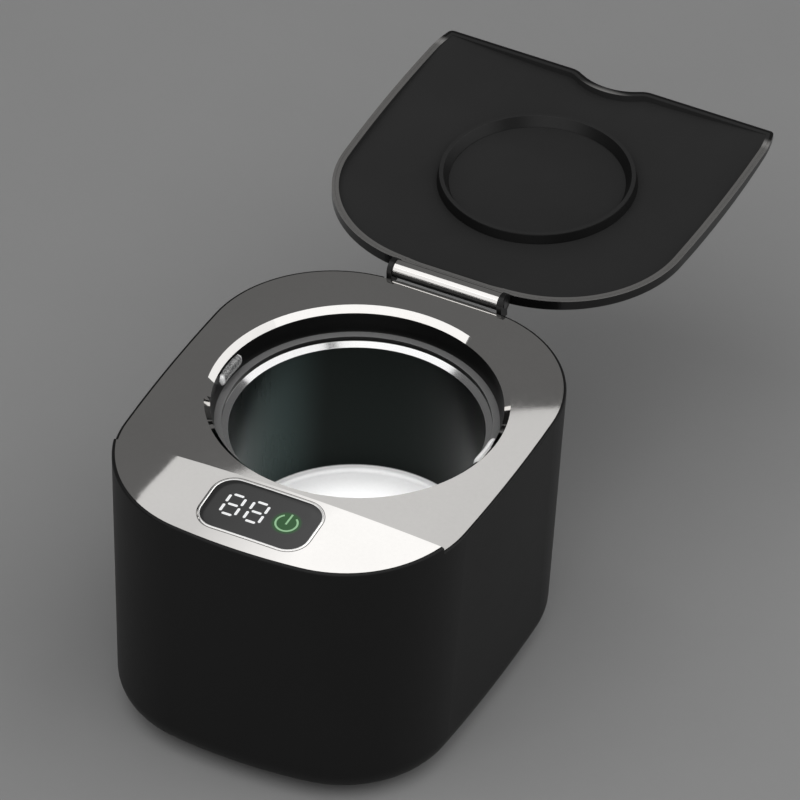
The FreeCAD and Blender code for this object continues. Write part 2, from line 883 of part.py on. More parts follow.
def piezo_disc():
    top = tank_underside() - 2 * bond_gap - coupling_height
    return tube(piezo_radius, piezo_bore, top - piezo_height, top)


def drive_standoffs():
    return [(sx * drive_standoff_x, drive_board_y + sy * drive_standoff_y) for sx in (-1, 1) for sy in (-1, 1)]


def board_low():
    return base_z + cover_thickness + standoff_height


def board_top():
    return board_low() + board_thickness


def drive_board():
    low = board_low()
    board = round_plate(drive_board_width, drive_board_depth, board_corner, 0, drive_board_y, low,
                        low + board_thickness)
    for x, y in drive_standoffs():
        board = board.cut(rod(screw_hole, x, y, low - past, low + board_thickness + past))
    return board


def drive_screws():
    return Part.makeCompound([screw(x, y, board_top(), -1) for x, y in drive_standoffs()])


def transformer():
    """Core with a wider winding round its middle."""
    x, y, low = transformer_x, drive_board_y, board_top()
    core = round_plate(transformer_width, transformer_depth * 0.7, 0.8, x, y, low, low + transformer_height)
    third = transformer_height / 4
    winding = round_plate(transformer_width * 0.7, transformer_depth, 2.0, x, y, low + third,
                          low + transformer_height - third)
    return core.fuse(winding).removeSplitter()


def drive_coil():
    low = board_top()
    coil = tube(coil_radius, coil_bore, low, low + coil_height, coil_x, drive_board_y)
    return coil.makeChamfer(coil_edge, edges_at(coil, lambda e: e.BoundBox.ZLength < 0.01))


def capacitor():
    low = board_top()
    can = rod(capacitor_radius, capacitor_x, drive_board_y, low, low + capacitor_height)
    return can.makeChamfer(capacitor_edge, edges_at(can, lambda e: e.BoundBox.ZLength < 0.01))


def heat_sink():
    """Finned strip at the board's left end."""
    x, y, low = sink_x, drive_board_y, board_top()
    half = sink_depth / 2
    spine = box(x - sink_fin, x, y - half, y + half, low, low + sink_height)
    pitch = (sink_depth - sink_fin) / (sink_fins - 1)
    for index in range(sink_fins):
        fin_y = y - half + index * pitch
        spine = spine.fuse(box(x, x + sink_reach, fin_y, fin_y + sink_fin, low, low + sink_height))
    return spine.removeSplitter()


def inlet_jack():
    """Round power inlet behind the rear wall, its nose flush in the wall's hole."""
    wall_inner = rear_wall_y(jack_z) - wall
    half = jack_width / 2
    back = wall_inner - jack_flange - jack_wall_gap
    body = box(-half, half, back - jack_length, back, jack_z - jack_height / 2, jack_z + jack_height / 2)
    nose = Part.makeCylinder(jack_nose, rear_wall_y(jack_z) - back, V(0, back, jack_z), V(0, 1, 0))
    flange = Part.makeCylinder(jack_nose + jack_flange_reach, jack_flange, V(0, back, jack_z), V(0, 1, 0))
    jack = body.fuse(nose).fuse(flange)
    mouth = rear_wall_y(jack_z)
    jack = jack.cut(Part.makeCylinder(jack_bore, jack_bore_depth, V(0, mouth - jack_bore_depth, jack_z), V(0, 1, 0)))
    pin = Part.makeCylinder(jack_pin, jack_bore_depth - past, V(0, mouth - jack_bore_depth, jack_z), V(0, 1, 0))
    return jack.fuse(pin).removeSplitter()


def yoke_half():
    return barrel_half + barrel_end_gap + yoke_ear


def hinge_z():
    return deck_z + hinge_rise


def hinge_yoke():
    """Strip under the rear of the deck with two upright ears that hold the pin."""
    half = yoke_half()
    low = deck_z - yoke_depth()
    top = low + yoke_sheet
    strip = box(-half, half, yoke_front, yoke_back, low, top)
    for x in (-half, half - yoke_ear):
        stem = box(x, x + yoke_ear, hinge_y - yoke_ear_radius, hinge_y + yoke_ear_back, low, hinge_z())
        head = Part.makeCylinder(yoke_ear_radius, yoke_ear, V(x, hinge_y, hinge_z()), V(1, 0, 0))
        strip = strip.fuse(stem).fuse(head)
    bore = Part.makeCylinder(pin_radius + pin_fit, 2 * half, V(-half, hinge_y, hinge_z()), V(1, 0, 0))
    strip = strip.cut(bore)
    for x in (-yoke_screw_x, yoke_screw_x):
        strip = strip.cut(rod(screw_hole, x, yoke_screw_y, low - past, top + past))
    return strip.removeSplitter()


def yoke_screws():
    """Low-headed screws that hold the yoke to its seat, under the trim."""
    top = deck_z - yoke_depth() + yoke_sheet
    screws = []
    for x in (-yoke_screw_x, yoke_screw_x):
        head = rod(screw_head, x, yoke_screw_y, top, top + low_head_height)
        shank = rod(screw_shank, x, yoke_screw_y, top - screw_bite, top)
        screws.append(head.fuse(shank).removeSplitter())
    return Part.makeCompound(screws)


def hinge_pin():
    half = yoke_half()
    pin = Part.makeCylinder(pin_radius, 2 * half, V(-half, hinge_y, hinge_z()), V(1, 0, 0))
    for start in (-half - pin_head, half):
        head = Part.makeCylinder(pin_head_radius, pin_head, V(start, hinge_y, hinge_z()), V(1, 0, 0))
        pin = pin.fuse(head)
    return pin.removeSplitter()


def opened(shape):
    """Swings a lid piece from its closed place, where it is drawn, to fully open."""
    shape.rotate(V(0, hinge_y, hinge_z()), V(1, 0, 0), -open_angle)
    return shape


def leaf_box(gap):
    """Flat rail in front of the barrel, which the lid's edge grips."""
    low = hinge_z() + leaf_rise
    half = leaf_half + gap
    return box(-half, half, hinge_y - leaf_reach - gap, hinge_y - gap, low - gap, low + leaf_sheet + gap)


def hinge_barrel():
    """Rolled knuckle with the rail that ties it to the lid."""
    barrel = Part.makeCylinder(barrel_radius, 2 * barrel_half, V(-barrel_half, hinge_y, hinge_z()), V(1, 0, 0))
    barrel = barrel.fuse(leaf_box(0))
    bore = Part.makeCylinder(pin_radius + pin_fit, 2 * barrel_half, V(-barrel_half, hinge_y, hinge_z()), V(1, 0, 0))
    return opened(barrel.cut(bore).removeSplitter())


def lid_front():
    return step_y + lid_front_gap


def lid_plan(grow, ear_wall):
    """Tall prism of the lid's plan grown by grow, less the room for the barrel and for the yoke's ears."""
    low = deck_z - 1
    high = deck_z + headroom
    front = lid_front() - grow
    plan = deck_prism(rim_width + grow, low, high).common(box(-far, far, front, far, low, high))
    corners = edges_at(plan, lambda e: e.BoundBox.YMax < front + 0.01 and e.BoundBox.ZLength > 1)
    plan = plan.makeFillet(max(lid_corner + grow, lid_corner / 5), corners)
    radius = (notch_half ** 2 + notch_depth ** 2) / (2 * notch_depth)
    plan = plan.cut(rod(radius - grow, 0, lid_front() + notch_depth - radius, low - past, high + past))
    ends = edges_at(plan, lambda e: e.BoundBox.YMax < front + 0.01 and e.BoundBox.ZLength > 1
                    and abs(e.BoundBox.XMax) < 2 * notch_half)
    plan = plan.makeFillet(notch_soft + grow, ends)
    groove = barrel_radius + barrel_groove_gap - grow
    plan = plan.cut(Part.makeCylinder(groove, 2 * barrel_half, V(-barrel_half, hinge_y, hinge_z()), V(1, 0, 0)))
    front = hinge_y - yoke_ear_radius - pocket_gap - ear_wall
    inner = barrel_half - ear_wall
    outer = yoke_half() + pocket_gap + ear_wall
    for x0, x1 in ((-outer, -inner), (inner, outer)):
        plan = plan.cut(box(x0, x1, front, far, low - past, high + past))
    return plan


def rim_z():
    return deck_z + lid_gap


def lid_shell(form):
    """Outer lid: crowned skin with a thin wall all round."""
    slab = form.common(box(-far, far, lid_front(), far, rim_z(), deck_z + far))
    shell = slab.common(lid_plan(0, 0))
    shell = shell.cut(lid_plan(-lid_wall, lid_wall).common(dome(lid_sheet)))
    return opened(shell.cut(leaf_box(liner_gap)).removeSplitter())


def lid_liner():
    """Inner tray: crowned floor, flat rim and the ring rib over the tank."""
    outer = lid_wall + liner_gap
    tray = lid_plan(-outer, outer).common(dome(lid_sheet + liner_gap))
    tray = tray.common(box(-far, far, -far, far, rim_z(), deck_z + far))
    hollow = lid_plan(-outer - liner_rim, outer + lid_ear_wall).common(dome(lid_sheet + liner_gap + liner_sheet))
    tray = tray.cut(hollow).fuse(ring_rib())
    return opened(tray.cut(leaf_box(liner_gap)).removeSplitter())


def ring_rib():
    """Ring rib with drafted sides, standing down from the liner floor over the mouth."""
    root = crown_z(ring_outer_base, 0) - lid_sheet - liner_gap - liner_sheet / 2
    base = crown_z(ring_outer_base, 0) - lid_sheet - liner_gap - liner_sheet
    crest = base - ring_height
    return revolve([(ring_inner_base, root), (ring_outer_base, root), (ring_outer_base, base),
                    (ring_outer_top, crest), (ring_inner_top, crest), (ring_inner_base, base)])


def build():
    form = pillow()
    parts = {
        "outer_casing": outer_casing(form),
        "base_cover": base_cover(),
        "rubber_feet": rubber_feet(),
        "base_screws": base_screws(),
        "top_trim": top_trim(),
        "trim_screws": trim_screws(),
        "display_window": display_window(),
        "digit_module": digit_module(),
        "touch_key": touch_key(),
        "display_board": display_board(),
        "display_screws": display_screws(),
        "collar": collar(),
        "collar_screws": collar_screws(),
        "lamp_lens_left": lamp_lens(-1),
        "lamp_lens_right": lamp_lens(1),
        "lamp_board_left": lamp_board(-1),
        "lamp_board_right": lamp_board(1),
        "tank_gasket": tank_gasket(),
        "tank": tank(),
        "clamp_ring": clamp_ring(),
        "clamp_screws": clamp_screws(),
        "coupling_block": coupling_block(),
        "piezo_disc": piezo_disc(),
        "drive_board": drive_board(),
        "drive_screws": drive_screws(),
        "transformer": transformer(),
        "drive_coil": drive_coil(),
        "capacitor": capacitor(),
        "heat_sink": heat_sink(),
        "inlet_jack": inlet_jack(),
        "hinge_yoke": hinge_yoke(),
        "yoke_screws": yoke_screws(),
        "hinge_pin": hinge_pin(),
        "hinge_barrel": hinge_barrel(),
        "lid_shell": lid_shell(form),
        "lid_liner": lid_liner(),
    }
    os.makedirs("parts", exist_ok=True)
    for name, shape in parts.items():
        shape.exportStep("parts/" + name + ".step")
        size = shape.BoundBox
        print(name, "solids", len(shape.Solids), "valid", shape.isValid(), "volume", round(shape.Volume, 1),
              "z", round(size.ZMin, 2), round(size.ZMax, 2))


build()
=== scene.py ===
import json
import math

import bmesh
import bpy
from mathutils import Matrix, Vector


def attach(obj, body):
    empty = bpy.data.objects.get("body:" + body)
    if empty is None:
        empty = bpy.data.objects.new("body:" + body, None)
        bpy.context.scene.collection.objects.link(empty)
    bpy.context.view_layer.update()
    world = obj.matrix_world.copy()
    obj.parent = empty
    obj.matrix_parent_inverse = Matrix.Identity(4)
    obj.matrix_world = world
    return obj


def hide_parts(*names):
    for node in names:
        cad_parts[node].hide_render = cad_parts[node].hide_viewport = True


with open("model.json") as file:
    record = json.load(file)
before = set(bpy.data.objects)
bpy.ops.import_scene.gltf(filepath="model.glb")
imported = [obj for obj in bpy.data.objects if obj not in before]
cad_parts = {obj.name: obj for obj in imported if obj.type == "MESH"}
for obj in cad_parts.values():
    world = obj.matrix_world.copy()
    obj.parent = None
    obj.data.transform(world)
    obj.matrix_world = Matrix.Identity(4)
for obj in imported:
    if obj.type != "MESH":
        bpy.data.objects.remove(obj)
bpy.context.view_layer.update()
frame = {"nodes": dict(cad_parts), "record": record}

MM = 0.001
DECK = 76.2
CROWN_RADIUS = 620.0
CROWN_RISE = 5.55
CROWN_Y = 2.5
WINDOW = (0.45, -56.1)
WINDOW_HALF = (15.3, 9.0)
WINDOW_CORNER = 5.6
PANE_TOP = 0.04
PANE_LOW = -0.5
BEZEL_SECTION = ((0.0, -0.05), (0.0, 0.05), (0.16, 0.11), (0.28, 0.11), (0.5, 0.02), (0.5, -0.05))
# Section of the dark ring round the bezel: a painted shadow of the gap there.
SHADOW_GAP_SECTION = ((0.7, -0.05), (0.7, 0.012), (0.88, 0.012), (0.88, -0.05))
DIGIT_X = (-7.6, -0.75)
DIGIT_Y = -56.05
DIGIT_SPAN = (4.35, 7.3)
DIGIT_BAR = 0.76
KEY = (8.0, -56.25)
KEY_RADIUS = 2.88
TANK_FLOOR_TOP = 27.4
TANK_RIM_LOW = 66.85
TANK_LEDGE_LOW = 69.1
TANK_DROP_LOW = 67.78
LEDGE_RADIUS = 35.2
LID_RIM_Z = 78.0
LID_RIM_END = 145.2
LID_RIM_FADE = 2.5
RING_Y = 105.8
# Radii of the ring rib's inner and outer walls, where the liner is painted dark as painted shade.
RING_SHADE_BANDS = ((23.5, 25.02), (26.16, 26.75))
FLANGE = (35.95, 42.1, 68.57, 69.15)
HINGE_Y = 52.9
LEAF_Y = 55.5
LENS_Z = 72.4
LENS_BACK = 37.9
LENS_BULGE = 1.55
LENS_HALF_LENGTH = 5.6
LENS_HALF_HEIGHT = 1.9
LENS_SQUARE = 5
LENS_STEPS = 28
LENS_ARC = 14
HINGE_Z = 77.25
STRIP_MIDDLE = math.radians(98)
STRIP_HALF = math.radians(66)


def crown_z(x, y):
    flat = x * x + (y - CROWN_Y) ** 2
    return DECK + CROWN_RISE - CROWN_RADIUS + math.sqrt(CROWN_RADIUS ** 2 - flat)


# Materials

def link(tree, a, b):
    tree.links.new(a, b)


def feed(tree, socket, value):
    if isinstance(value, bpy.types.NodeSocket):
        link(tree, value, socket)
    else:
        socket.default_value = value


def math_node(tree, operation, a, b=None, clamp=False):
    node = tree.nodes.new("ShaderNodeMath")
    node.operation = operation
    node.use_clamp = clamp
    feed(tree, node.inputs[0], a)
    if b is not None:
        feed(tree, node.inputs[1], b)
    return node.outputs[0]


def noise(tree, coords, scale, detail=4.0, rough=0.55, stretch=None):
    if stretch:
        mapping = tree.nodes.new("ShaderNodeMapping")
        mapping.inputs["Scale"].default_value = stretch
        link(tree, coords, mapping.inputs["Vector"])
        coords = mapping.outputs["Vector"]
    node = tree.nodes.new("ShaderNodeTexNoise")
    node.inputs["Scale"].default_value = scale
    node.inputs["Detail"].default_value = detail
    node.inputs["Roughness"].default_value = rough
    link(tree, coords, node.inputs["Vector"])
    return node.outputs["Fac"]


def ranged(tree, value, low, high, start=0.3, end=0.7, smooth=False):
    node = tree.nodes.new("ShaderNodeMapRange")
    if smooth:
        node.interpolation_type = "SMOOTHSTEP"
    node.inputs["From Min"].default_value = start
    node.inputs["From Max"].default_value = end
    node.inputs["To Min"].default_value = low
    node.inputs["To Max"].default_value = high
    link(tree, value, node.inputs["Value"])
    return node.outputs["Result"]


def colour_mix(tree, factor, a, b):
    node = tree.nodes.new("ShaderNodeMix")
    node.data_type = "RGBA"
    feed(tree, node.inputs["A"], a if isinstance(a, bpy.types.NodeSocket) else (*a, 1))
    feed(tree, node.inputs["B"], b if isinstance(b, bpy.types.NodeSocket) else (*b, 1))
    link(tree, factor, node.inputs["Factor"])
    return node.outputs["Result"]


def value_mix(tree, factor, a, b):
    """a where factor is 0, b where it is 1."""
    span = math_node(tree, "SUBTRACT", b, a)
    return math_node(tree, "ADD", math_node(tree, "MULTIPLY", factor, span), a)


def split(tree, coords):
    node = tree.nodes.new("ShaderNodeSeparateXYZ")
    link(tree, coords, node.inputs[0])
    return node.outputs


def distance(tree, a, b):
    squares = math_node(tree, "ADD", math_node(tree, "MULTIPLY", a, a), math_node(tree, "MULTIPLY", b, b))
    return math_node(tree, "SQRT", squares)


def above(level, soft=0.03, axis=2):
    """Mask of the points beyond a level in millimetres along an axis."""
    def mask(tree, coords):
        value = split(tree, coords)[axis]
        return ranged(tree, value, 0, 1, (level - soft) * MM, (level + soft) * MM)
    return mask


def below(level, soft=0.3, axis=2):
    def mask(tree, coords):
        value = split(tree, coords)[axis]
        return ranged(tree, value, 1, 0, (level - soft) * MM, (level + soft) * MM, smooth=True)
    return mask


# Mask of the flat steel ledge round the tank's rim, which the tank's finish paints an even mid grey non-metal
# as a painted reflection.
def ledge(tree, coords):
    x, y, z = split(tree, coords)
    out = ranged(tree, distance(tree, x, y), 0, 1, (LEDGE_RADIUS - 0.05) * MM, (LEDGE_RADIUS + 0.05) * MM)
    high = ranged(tree, z, 0, 1, (TANK_LEDGE_LOW - 0.03) * MM, (TANK_LEDGE_LOW + 0.03) * MM)
    return math_node(tree, "MULTIPLY", out, high)


def drop(tree, coords):
    """The short wall between the ledge and the tank's rim, painted black as a painted shadow."""
    x, y, z = split(tree, coords)
    out = ranged(tree, distance(tree, x, y), 0, 1, (LEDGE_RADIUS - 0.05) * MM, (LEDGE_RADIUS + 0.05) * MM)
    high = ranged(tree, z, 0, 1, (TANK_DROP_LOW - 0.03) * MM, (TANK_DROP_LOW + 0.03) * MM)
    return math_node(tree, "MULTIPLY", out, high)


# Painted glow: mask round the power sign where the window is tinted green for the key's light.
def key_glow_spill(tree, coords):
    x, y, z = split(tree, coords)
    dx = math_node(tree, "SUBTRACT", x, KEY[0] * MM)
    dy = math_node(tree, "SUBTRACT", y, KEY[1] * MM)
    return ranged(tree, distance(tree, dx, dy), 1, 0, 0.0031, 0.0044, smooth=True)


def barrel_shade_and_leaf(tree, coords):
    """All of the hinge but its bright strip: the leaf, and the lower half of the barrel, where the chrome is
    painted dark as painted shade.
    """
    x, y, z = split(tree, coords)
    dy = math_node(tree, "SUBTRACT", y, HINGE_Y * MM)
    dz = math_node(tree, "SUBTRACT", z, HINGE_Z * MM)
    angle = math_node(tree, "ARCTAN2", dz, dy)
    strip = math_node(tree, "COMPARE", angle, STRIP_MIDDLE)
    strip.node.inputs[2].default_value = STRIP_HALF
    leaf = ranged(tree, y, 0, 1, (LEAF_Y - 0.05) * MM, (LEAF_Y + 0.05) * MM)
    return math_node(tree, "MAXIMUM", leaf, math_node(tree, "SUBTRACT", 1.0, strip))


def lens_painted_highlight(tree, coords):
    """The lens is painted white at its ends and along its lower edge, as a painted highlight."""
    x, y, z = split(tree, coords)
    end = ranged(tree, math_node(tree, "ABSOLUTE", y), 0, 1, 0.0044, 0.0050)
    edge = ranged(tree, z, 1, 0, (LENS_Z - 1.5) * MM, (LENS_Z - 0.9) * MM)
    blobs = ranged(tree, noise(tree, coords, 1100, 2.0), 0, 1, 0.44, 0.5)
    return math_node(tree, "MAXIMUM", end, math_node(tree, "MULTIPLY", edge, blobs))


def lid_rim(tree, coords):
    """The rim is bright all round but for the far edge with the notch."""
    high = above(LID_RIM_Z - 0.07)(tree, coords)
    return math_node(tree, "MULTIPLY", high, below(LID_RIM_END, LID_RIM_FADE, axis=1)(tree, coords))


def ring_wall_shade(tree, coords):
    """Both walls of the ring rib under the lid, painted dark as painted shade."""
    x, y, z = split(tree, coords)
    radius = distance(tree, x, math_node(tree, "SUBTRACT", y, RING_Y * MM))
    masks = []
    for low, high in RING_SHADE_BANDS:
        band = math_node(tree, "COMPARE", radius, (low + high) / 2 * MM)
        band.node.inputs[2].default_value = (high - low) / 2 * MM
        masks.append(band)
    return math_node(tree, "MAXIMUM", *masks)


def speckle(tree, coords):
    return ranged(tree, noise(tree, coords, 1900, 2.0, 0.7), 0, 1, 0.42, 0.58)


def surface(name, base, rough, metal=0.0, spread=0.06, grain=0.0, grain_scale=2500.0, smudge=0.04,
            smudge_scale=30.0, stretch=None, coat=0.0, specular=0.5, transmission=0.0, ior=1.5,
            emission=None, strength=0.0, zones=()):
    """A procedural finish in the object's own space: colour drift, rough patches and a fine bump.

    Each zone is a mask with the colour, roughness and metal that the surface has where the mask is 1.
    """
    material = bpy.data.materials.new(name)
    material.use_nodes = True
    tree = material.node_tree
    shader = tree.nodes["Principled BSDF"]
    coords = tree.nodes.new("ShaderNodeTexCoord").outputs["Object"]
    patches = noise(tree, coords, smudge_scale, 5.0, 0.6)
    fine = noise(tree, coords, grain_scale, 3.0, 0.6, stretch)
    colour, roughness, metallic = tuple(base), rough, metal
    for mask_of, zone_base, zone_rough, zone_metal in zones:
        mask = mask_of(tree, coords)
        colour = colour_mix(tree, mask, colour, zone_base)
        roughness = value_mix(tree, mask, roughness, zone_rough)
        if zone_metal != metal or isinstance(metallic, bpy.types.NodeSocket):
            metallic = value_mix(tree, mask, metallic, zone_metal)
    drift = tree.nodes.new("ShaderNodeVectorMath")
    drift.operation = "SCALE"
    feed(tree, drift.inputs[0], colour)
    shade = ranged(tree, patches, 1 - spread, 1 + spread)
    if grain:
        shade = math_node(tree, "ADD", shade, ranged(tree, fine, -spread / 2, spread / 2))
    link(tree, shade, drift.inputs["Scale"])
    link(tree, drift.outputs[0], shader.inputs["Base Color"])
    wander = ranged(tree, patches, -smudge / 2, smudge / 2)
    if grain:
        wander = math_node(tree, "ADD", wander, ranged(tree, fine, -smudge / 3, smudge / 3))
    link(tree, math_node(tree, "ADD", wander, roughness, clamp=True), shader.inputs["Roughness"])
    feed(tree, shader.inputs["Metallic"], metallic)
    shader.inputs["Coat Weight"].default_value = coat
    shader.inputs["Coat Roughness"].default_value = 0.08
    shader.inputs["Specular IOR Level"].default_value = specular
    shader.inputs["Transmission Weight"].default_value = transmission
    shader.inputs["IOR"].default_value = ior
    if emission:
        shader.inputs["Emission Color"].default_value = (*emission, 1)
        shader.inputs["Emission Strength"].default_value = strength
    if grain:
        bump = tree.nodes.new("ShaderNodeBump")
        bump.inputs["Strength"].default_value = 1.0
        bump.inputs["Distance"].default_value = grain * MM
        link(tree, fine, bump.inputs["Height"])
        link(tree, bump.outputs["Normal"], shader.inputs["Normal"])
    return material


def srgb(value):
    value = value / 255
    return value / 12.92 if value <= 0.04045 else ((value + 0.055) / 1.055) ** 2.4


def grey(value, tint=(1.0, 1.0, 1.0)):
    return tuple(srgb(value) * t for t in tint)


SILVER = grey(230, (1.0, 0.98, 0.955))
LID_RIM = (lid_rim, SILVER, 0.12, 1.0)

finishes = {
    "casing_black": surface("casing_black", grey(14), 0.48, grain=0.016, grain_scale=2600, specular=0.28,
                            spread=0.1),
    "base_black": surface("base_black", grey(38), 0.6, grain=0.03, grain_scale=2200, specular=0.35),
    "foot_rubber": surface("foot_rubber", grey(34), 0.75, grain=0.03, grain_scale=1800, specular=0.3),
    "trim_silver": surface("trim_silver", SILVER, 0.035, metal=1.0, grain=0.0006, grain_scale=900,
                           spread=0.02, smudge=0.02),
    "collar_black": surface("collar_black", grey(13), 0.3, grain=0.003, grain_scale=2000, specular=0.3),
    # Painted reflection: the tank's steel is painted near black for its dark reflection, and a little lighter
    # towards its left side (x below -27 mm); its rim keeps a bright steel colour.
    "tank_steel": surface("tank_steel", (0.0085, 0.0105, 0.0098), 0.3, metal=1.0, grain=0.0004,
                          grain_scale=900, stretch=(1, 1, 0.08), smudge=0.03, spread=0.03, specular=0.3,
                          zones=((below(-27, 6, axis=0), (0.028, 0.042, 0.040), 0.28, 1.0),
                                 # Painted reflection: the tank's floor is a pale non-metal standing for the
                                 # steel's reflection of light from above; tank_spot lights it as well.
                                 (below(TANK_FLOOR_TOP, 0.25), grey(240), 0.38, 0.3),
                                 (above(TANK_RIM_LOW, 0.05), grey(232), 0.1, 1.0),
                                 # Painted shadow: the drop wall is painted black.
                                 (drop, grey(12), 0.4, 0.0),
                                 # Painted reflection: the ledge is an even grey non-metal.
                                 (ledge, grey(106), 0.3, 0.0))),
    "clamp_steel": surface("clamp_steel", grey(175), 0.35, metal=1.0, grain=0.004),
    "seal_rubber": surface("seal_rubber", grey(22), 0.7, grain=0.01),
    # Painted highlight: the left lens turns white at its ends and along its lower edge.
    "lens_clear": surface("lens_clear", grey(92, (0.97, 1.0, 1.0)), 0.2, grain=0.004, grain_scale=1500,
                          coat=0.15, zones=((speckle, grey(150), 0.2, 0.0),
                                            (lens_painted_highlight, (1.0, 1.0, 1.0), 0.2, 0.0))),
    # Painted glow: the window turns green round the power sign as if lit by the key.
    "window_dark": surface("window_dark", grey(44), 0.1, grain=0.0004, specular=0.45, spread=0.04,
                           zones=((key_glow_spill, (0.004, 0.085, 0.008), 0.1, 0.0),)),
    "display_white": surface("display_white", grey(210), 0.5, grain=0.005),
    "key_green": surface("key_green", (0.1, 0.4, 0.14), 0.3, grain=0.003),
    "board_green": surface("board_green", (0.02, 0.12, 0.05), 0.35, grain=0.01, grain_scale=900),
    "screw_steel": surface("screw_steel", grey(105), 0.3, metal=1.0, grain=0.004, smudge=0.1),
    "coupling_aluminium": surface("coupling_aluminium", grey(195), 0.3, metal=1.0, grain=0.005),
    "piezo_ceramic": surface("piezo_ceramic", (0.42, 0.36, 0.28), 0.6, grain=0.01),
    "winding_yellow": surface("winding_yellow", (0.55, 0.42, 0.08), 0.45, grain=0.01),
    "coil_copper": surface("coil_copper", (0.6, 0.26, 0.12), 0.3, metal=0.9, grain=0.04, grain_scale=700,
                           stretch=(0.1, 0.1, 3.0)),
    "capacitor_grey": surface("capacitor_grey", (0.06, 0.07, 0.13), 0.35, grain=0.003),
    "sink_aluminium": surface("sink_aluminium", grey(165), 0.4, metal=1.0, grain=0.006, stretch=(1, 1, 0.05)),
    "jack_black": surface("jack_black", grey(26), 0.35, grain=0.005),
    "yoke_black": surface("yoke_black", grey(22), 0.35, metal=0.0, specular=0.3, grain=0.006, spread=0.1),
    # Painted shade: the chrome is dark and non-metal but for a bright strip along the barrel's top; the leaf
    # is dark too.
    "hinge_chrome": surface("hinge_chrome", SILVER, 0.1, metal=1.0, grain=0.0008, grain_scale=1200,
                            spread=0.02, zones=((barrel_shade_and_leaf, grey(22), 0.4, 0.0),)),
    "lid_gloss": surface("lid_gloss", grey(14), 0.18, grain=0.001, grain_scale=1000, spread=0.12,
                         zones=(LID_RIM,)),
    # Painted shade: the ring rib's walls are painted near black.
    "liner_matte": surface("liner_matte", grey(39), 0.5, grain=0.01, grain_scale=2400, specular=0.35,
                           spread=0.08, zones=(LID_RIM, (ring_wall_shade, grey(11), 0.4, 0.0))),
}

slots = {entry["node"]: entry["material_slot"] for entry in frame["record"]["subparts"]}
for name, node in frame["nodes"].items():
    node.data.materials.clear()
    node.data.materials.append(finishes[slots[name]])
    for polygon in node.data.polygons:
        polygon.material_index = 0


# Display: digits, power sign and bezel, laid on the crown

def on_crown(x, y, lift):
    return Vector((x, y, crown_z(x, y) + lift)) * MM


def new_piece(name, shape, material, body="base"):
    mesh = bpy.data.meshes.new(name)
    bmesh.ops.recalc_face_normals(shape, faces=shape.faces)
    shape.to_mesh(mesh)
    shape.free()
    piece = bpy.data.objects.new(name, mesh)
    bpy.context.scene.collection.objects.link(piece)
    mesh.materials.append(material)
    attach(piece, body)
    return piece


def tablets(name, loops, lift, thick, material):
    """Closed thin tablets that follow the crown. Each loop is a list of (x, y) points in order."""
    shape = bmesh.new()
    for loop in loops:
        top = [shape.verts.new(on_crown(x, y, lift + thick)) for x, y in loop]
        low = [shape.verts.new(on_crown(x, y, lift)) for x, y in loop]
        shape.faces.new(top)
        shape.faces.new(list(reversed(low)))
        for i in range(len(loop)):
            j = (i + 1) % len(loop)
            shape.faces.new((low[i], low[j], top[j], top[i]))
    return new_piece(name, shape, material)


def segment(x0, y0, x1, y1, width):
    """Bar with pointed ends from one point to another."""
    a, b = Vector((x0, y0)), Vector((x1, y1))
    along = (b - a).normalized()
    side = Vector((-along.y, along.x)) * width / 2
    tip = along * width / 3
    return [tuple(p) for p in (a, a + tip + side, b - tip + side, b, b - tip - side, a + tip - side)]


def digit_loops(centre_x, centre_y, width, height, bar):
    w, h = width / 2, height / 2
    gap = bar * 0.95
    ends = [(-w + gap, y, w - gap, y) for y in (-h, 0, h)]
    for x in (-w, w):
        ends.append((x, gap * 0.6, x, h - gap * 0.6))
        ends.append((x, -h + gap * 0.6, x, -gap * 0.6))
    return [segment(centre_x + a, centre_y + b, centre_x + c, centre_y + d, bar) for a, b, c, d in ends]


def arc_band(cx, cy, radius, width, start, end, steps=40):
    points = []
    for r, order in ((radius + width / 2, 1), (radius - width / 2, -1)):
        angles = [math.radians(start + (end - start) * k / steps) for k in range(steps + 1)][::order]
        points += [(cx + r * math.cos(a), cy + r * math.sin(a)) for a in angles]
    return points


def lamp_cover(name, side, node, material):
    """Bulging lens on the bore's wall, rounded at its ends. side is 1 at the right and -1 at the left."""
    shape = bmesh.new()
    rings = []
    for i in range(LENS_STEPS + 1):
        u = -1 + 2 * i / LENS_STEPS
        full = (1 - abs(u) ** LENS_SQUARE) ** (1 / LENS_SQUARE)
        full = max(full, 0.12)
        angle = u * LENS_HALF_LENGTH / LENS_BACK
        ring = []
        for k in range(LENS_ARC + 1):
            turn = math.pi * (k / LENS_ARC - 0.5)
            out = LENS_BULGE * full * math.copysign(abs(math.cos(turn)) ** 0.7, math.cos(turn))
            rise = LENS_HALF_HEIGHT * full * math.copysign(abs(math.sin(turn)) ** 0.8, turn)
            radius = LENS_BACK - out
            ring.append(shape.verts.new(Vector((side * radius * math.cos(angle), radius * math.sin(angle),
                                                LENS_Z + rise)) * MM))
        rings.append(ring)
    for a, b in zip(rings, rings[1:]):
        for k in range(LENS_ARC + 1):
            j = (k + 1) % (LENS_ARC + 1)
            shape.faces.new((a[k], a[j], b[j], b[k]))
    shape.faces.new(rings[0])
    shape.faces.new(list(reversed(rings[-1])))
    for face in shape.faces:
        face.smooth = True
    piece = new_piece(name, shape, material)
    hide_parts(node)
    return piece


